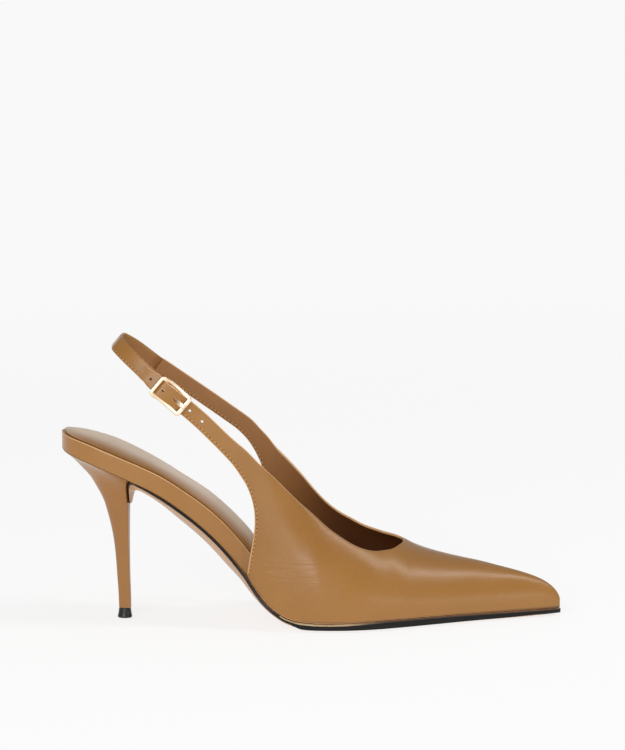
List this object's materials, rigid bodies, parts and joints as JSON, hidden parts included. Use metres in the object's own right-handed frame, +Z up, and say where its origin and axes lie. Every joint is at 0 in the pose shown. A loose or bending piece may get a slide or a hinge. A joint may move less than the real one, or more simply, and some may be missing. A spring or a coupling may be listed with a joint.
{
  "type": "slingback pump",
  "caption": "Right slingback pump with a pointed closed toe, high wings, a stiletto heel and a buckled strap round the back of the foot.",
  "frame": {"origin": "on the floor under the flat tread of the forepart, on the foot's middle line", "axes": "+X towards the tip of the toe, +Y towards the inner side of the foot, +Z up; the buckle is on the outer side, -Y"},
  "size_m": [0.2466, 0.0747, 0.1414],
  "materials": {
    "upper_leather": "smooth tan calf leather, soft sheen",
    "strap_leather": "smooth tan calf leather, soft sheen",
    "buckle_metal": "polished pale gold",
    "prong_metal": "polished pale gold",
    "sock_leather": "smooth tan lining leather, glossy",
    "cover_leather": "smooth tan calf leather, soft sheen",
    "outsole_leather": "smooth tan sole leather with a black painted edge",
    "heel_leather": "leather covered, soft sheen",
    "top_lift_rubber": "matt black"
  },
  "bodies": {
    "root": {"upper": "upper_leather", "sling_strap": "strap_leather", "buckle_frame": "buckle_metal", "buckle_prong": "prong_metal", "insole_sock": "sock_leather", "insole_board": "cover_leather", "outsole": "outsole_leather", "heel": "heel_leather", "top_lift": "top_lift_rubber"}
  },
  "joints": []
}
